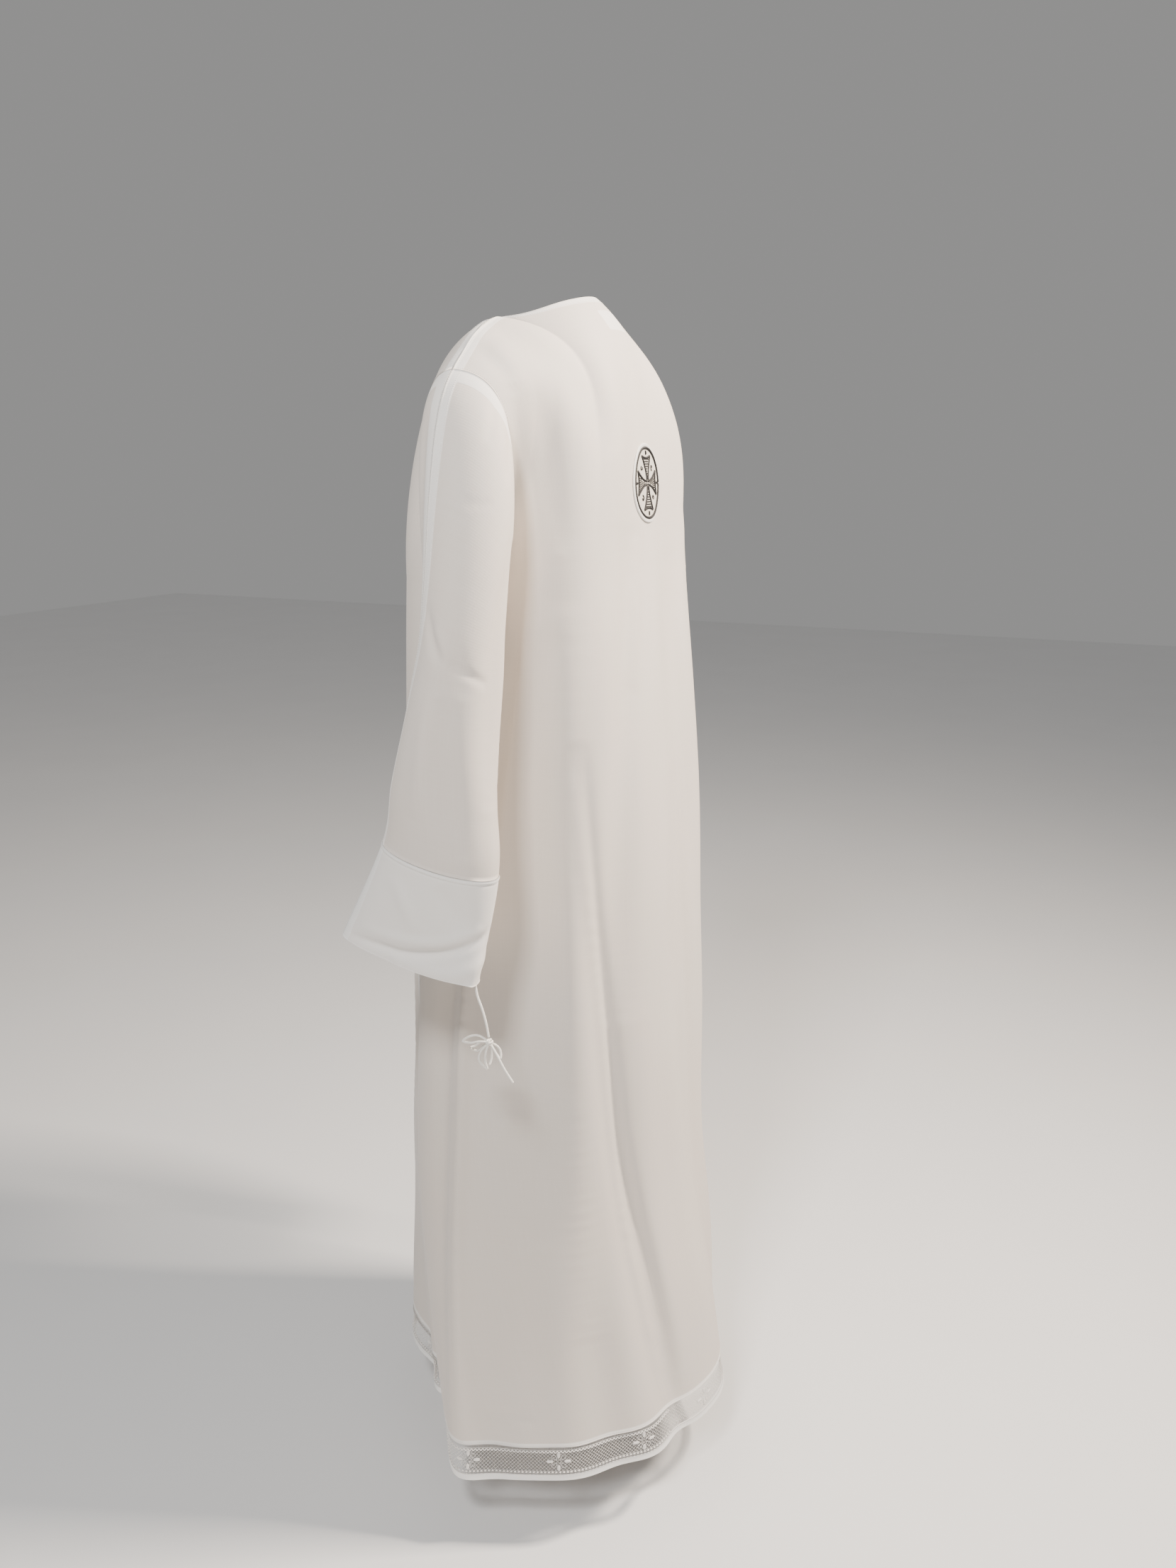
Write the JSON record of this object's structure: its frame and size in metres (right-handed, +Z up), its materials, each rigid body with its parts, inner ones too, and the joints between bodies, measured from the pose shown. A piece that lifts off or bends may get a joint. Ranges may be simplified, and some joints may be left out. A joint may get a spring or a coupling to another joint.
{
  "type": "alb robe",
  "caption": "Long white robe, hollow as worn, with wide sleeves, deep doubled cuffs tied with a cord bow, a cross patch on the back and a lace band above the hem.",
  "frame": {"origin": "middle of the neck opening, level with the tops of the shoulders", "axes": "+Z up, -Y the way the wearer faces, +X the wearer's left"},
  "size_m": [0.6384, 0.4683, 1.439],
  "materials": {
    "cloth": "thin plain-weave cotton, half see-through",
    "lace": "open cotton lace",
    "cord": "round cotton cord",
    "emblem": "satin-stitch embroidery",
    "label": "woven tape"
  },
  "bodies": {
    "root": {"back_yoke": "cloth", "back_skirt_left": "cloth", "back_skirt_middle": "cloth", "back_skirt_right": "cloth", "front": "cloth", "sleeve_left_back": "cloth", "sleeve_left_front": "cloth", "sleeve_right_back": "cloth", "sleeve_right_front": "cloth", "cuff_left": "cloth", "cuff_right": "cloth", "hem_lace_back": "lace", "hem_lace_front": "lace", "hem_strip_back": "cloth", "hem_strip_front": "cloth", "neck_facing_back": "cloth", "neck_facing_front_left": "cloth", "neck_facing_front_right": "cloth", "emblem": "emblem", "label": "label", "tie_left": "cord", "bow_left": "cord", "tie_right": "cord", "bow_right": "cord"}
  },
  "joints": []
}
